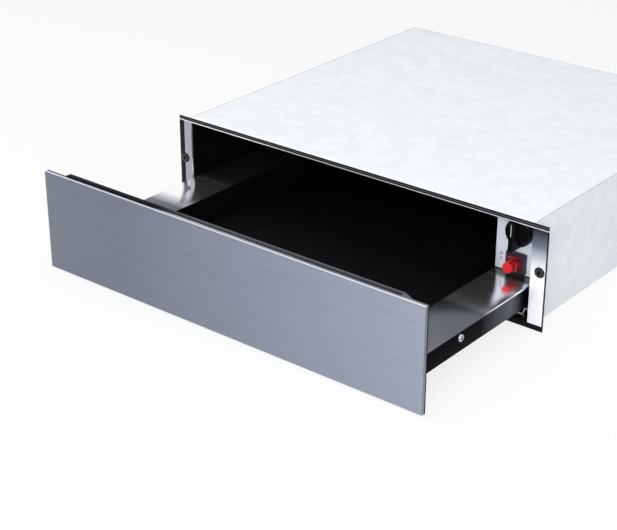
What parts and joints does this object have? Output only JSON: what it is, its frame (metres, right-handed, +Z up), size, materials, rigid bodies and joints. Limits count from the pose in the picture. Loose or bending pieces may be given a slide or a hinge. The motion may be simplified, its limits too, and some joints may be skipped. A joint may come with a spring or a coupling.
{
  "type": "built-in warming drawer",
  "caption": "Built-in warming drawer for a 14 cm niche: handle-less steel front on ball runners, part open, with thermostat knob and lit push switch beside the tub and a fan heater behind.",
  "frame": {"origin": "mid width, on the cabinet's front plane (the back of the side flanges), at the underside of the housing", "axes": "+X to the right as seen from the front, +Y into the cabinet, +Z up; the drawer opens along -Y"},
  "size_m": [0.595, 0.794, 0.14],
  "materials": {
    "brushed_front_steel": "fine horizontal brushing, fingerprint coating",
    "satin_steel": "satin stainless steel",
    "panel_steel": "brushed stainless steel, light",
    "bright_steel": "bright folded edge",
    "galvanised_steel": "galvanised outside, black enamel inside",
    "black_enamel": "satin black enamel",
    "black_trim": "matte black",
    "seal_black": "black backing sheet and edge seal",
    "core_board": "stiffening sheet, sealed in",
    "mat_rubber": "ribbed non-slip rubber",
    "zinc_steel": "zinc-plated",
    "screw_bright": "polished screw head",
    "screw_dark": "burnished dark steel",
    "ball_steel": "hardened balls",
    "cage_plastic": "natural nylon",
    "knob_black": "semi-gloss black",
    "pointer_white": "white inlay",
    "switch_black": "black switch body",
    "switch_red": "clear red lens plastic",
    "lamp_glass": "neon lamp",
    "thermostat_case": "moulded case with steel bush",
    "element_steel": "heat-darkened tube",
    "motor_metal": "motor shell",
    "impeller_metal": "plain sheet aluminium",
    "terminal_plastic": "ivory plastic",
    "wire_sleeve": "black sleeving",
    "probe_metal": "copper capillary",
    "clip_nylon": "nylon clips",
    "latch_grey": "grey acetal"
  },
  "bodies": {
    "housing": {"housing_base": "galvanised_steel", "housing_top": "galvanised_steel", "housing_left": "galvanised_steel", "housing_right": "galvanised_steel", "housing_back": "galvanised_steel", "bottom_strip": "black_trim", "top_strip": "black_trim", "top_rail": "bright_steel", "left_flange": "satin_steel", "right_flange": "satin_steel", "fixing_screws": "screw_dark", "control_plate": "panel_steel", "control_box": "galvanised_steel", "thermostat_body": "thermostat_case", "switch_housing": "switch_black", "switch_collar": "switch_red", "switch_lamp": "lamp_glass", "fan_cover": "galvanised_steel", "fan_motor": "motor_metal", "heating_element": "element_steel", "thermal_cutout": "zinc_steel", "terminal_block": "terminal_plastic", "cable_gland": "wire_sleeve", "wiring_loom": "wire_sleeve", "wiring_clips": "clip_nylon", "temperature_probe": "probe_metal", "latch_body": "latch_grey", "latch_spring": "zinc_steel", "runner_bracket_left": "black_enamel", "runner_bracket_right": "black_enamel", "fixed_runner_left": "zinc_steel", "fixed_runner_right": "zinc_steel", "runner_screws": "zinc_steel"},
    "drawer": {"front_skin": "brushed_front_steel", "front_core": "core_board", "front_backing": "seal_black", "inner_front": "black_enamel", "front_screws": "screw_bright", "drawer_tub": "black_enamel", "left_side_rail": "satin_steel", "right_side_rail": "satin_steel", "left_front_bracket": "zinc_steel", "right_front_bracket": "zinc_steel", "skirt_screws": "screw_bright", "drawer_runner_left": "zinc_steel", "drawer_runner_right": "zinc_steel", "non_slip_mat": "mat_rubber", "latch_striker": "zinc_steel"},
    "runner_left": {"middle_runner_left": "zinc_steel", "ball_cage_left": "cage_plastic", "bearing_balls_left": "ball_steel"},
    "runner_right": {"middle_runner_right": "zinc_steel", "ball_cage_right": "cage_plastic", "bearing_balls_right": "ball_steel"},
    "thermostat_knob": {"knob": "knob_black", "knob_pointer": "pointer_white", "thermostat_shaft": "zinc_steel"},
    "switch_button": {"power_button": "switch_red"},
    "fan": {"fan_impeller": "impeller_metal"},
    "plunger": {"latch_plunger": "latch_grey"}
  },
  "joints": [
    {"name": "drawer_slide", "type": "slide", "parent": "housing", "child": "drawer", "axis": [0, -1, 0], "range_m": [-0.231, 0.16]},
    {"name": "runner_slide_left", "type": "slide", "parent": "housing", "child": "runner_left", "axis": [0, -1, 0], "range_m": [-0.1155, 0.08]},
    {"name": "runner_slide_right", "type": "slide", "parent": "housing", "child": "runner_right", "axis": [0, -1, 0], "range_m": [-0.1155, 0.08]},
    {"name": "thermostat_turn", "type": "hinge", "parent": "housing", "child": "thermostat_knob", "pos_m": [0.247, 0, 0.113], "axis": [0, 1, 0], "range_deg": [0, 270]},
    {"name": "button_press", "type": "slide", "parent": "housing", "child": "switch_button", "axis": [0, 1, 0], "range_m": [0, 0.003], "stiffness_N_per_m": 500},
    {"name": "fan_spin", "type": "hinge", "parent": "housing", "child": "fan", "pos_m": [0, 0.4888, 0.072], "axis": [0, 1, 0], "continuous": true},
    {"name": "latch_press", "type": "slide", "parent": "housing", "child": "plunger", "axis": [0, 1, 0], "range_m": [0, 0.006], "stiffness_N_per_m": 400}
  ],
  "couplings": [
    {"joint": "runner_slide_left", "follows": "drawer_slide", "ratio": 0.5},
    {"joint": "runner_slide_right", "follows": "drawer_slide", "ratio": 0.5}
  ]
}
